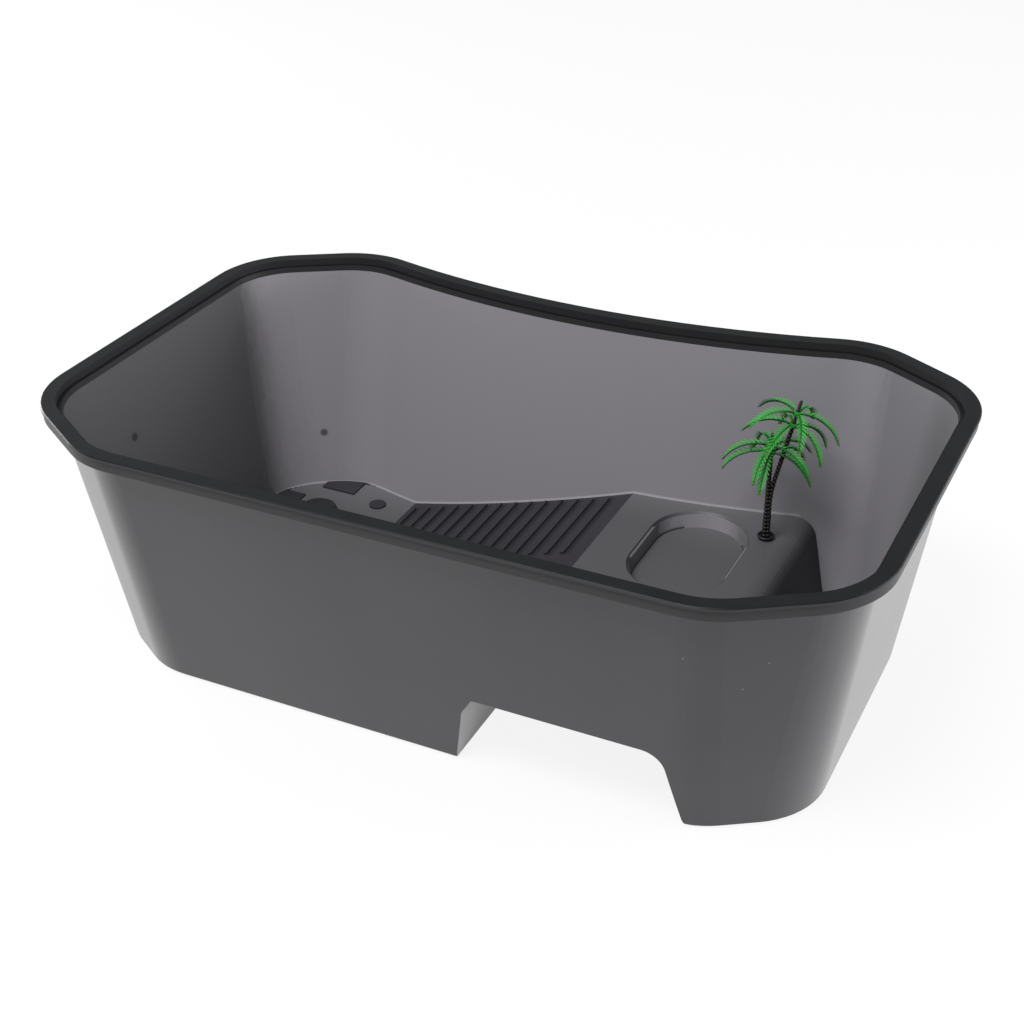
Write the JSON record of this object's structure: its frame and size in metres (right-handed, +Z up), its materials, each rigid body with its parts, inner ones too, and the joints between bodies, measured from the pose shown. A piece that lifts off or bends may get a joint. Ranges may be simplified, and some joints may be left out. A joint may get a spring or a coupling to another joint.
{
  "type": "turtle tank",
  "caption": "Eight-sided smoke-grey plastic turtle tub with a ribbed ramp, a basking platform with a food bowl, a deep end and a small plastic palm.",
  "frame": {"origin": "centre of the bounding box, on the plane that the base stands on", "axes": "+X along the length from the tray to the deep end, +Y from the straight front wall to the bowed back wall, +Z up"},
  "size_m": [0.4, 0.2491, 0.1286],
  "materials": {
    "smoked_plastic": "glossy, smoke grey",
    "black_rubber": "matte",
    "trunk_plastic": "satin, dark brown",
    "leaf_plastic": "satin, green with brown tips"
  },
  "bodies": {
    "root": {"tub": "smoked_plastic", "drain_stopper": "black_rubber", "palm_trunk": "trunk_plastic", "tall_palm_upper_leaves": "leaf_plastic", "tall_palm_lower_leaves": "leaf_plastic", "short_palm_upper_leaves": "leaf_plastic", "short_palm_lower_leaves": "leaf_plastic"}
  },
  "joints": []
}
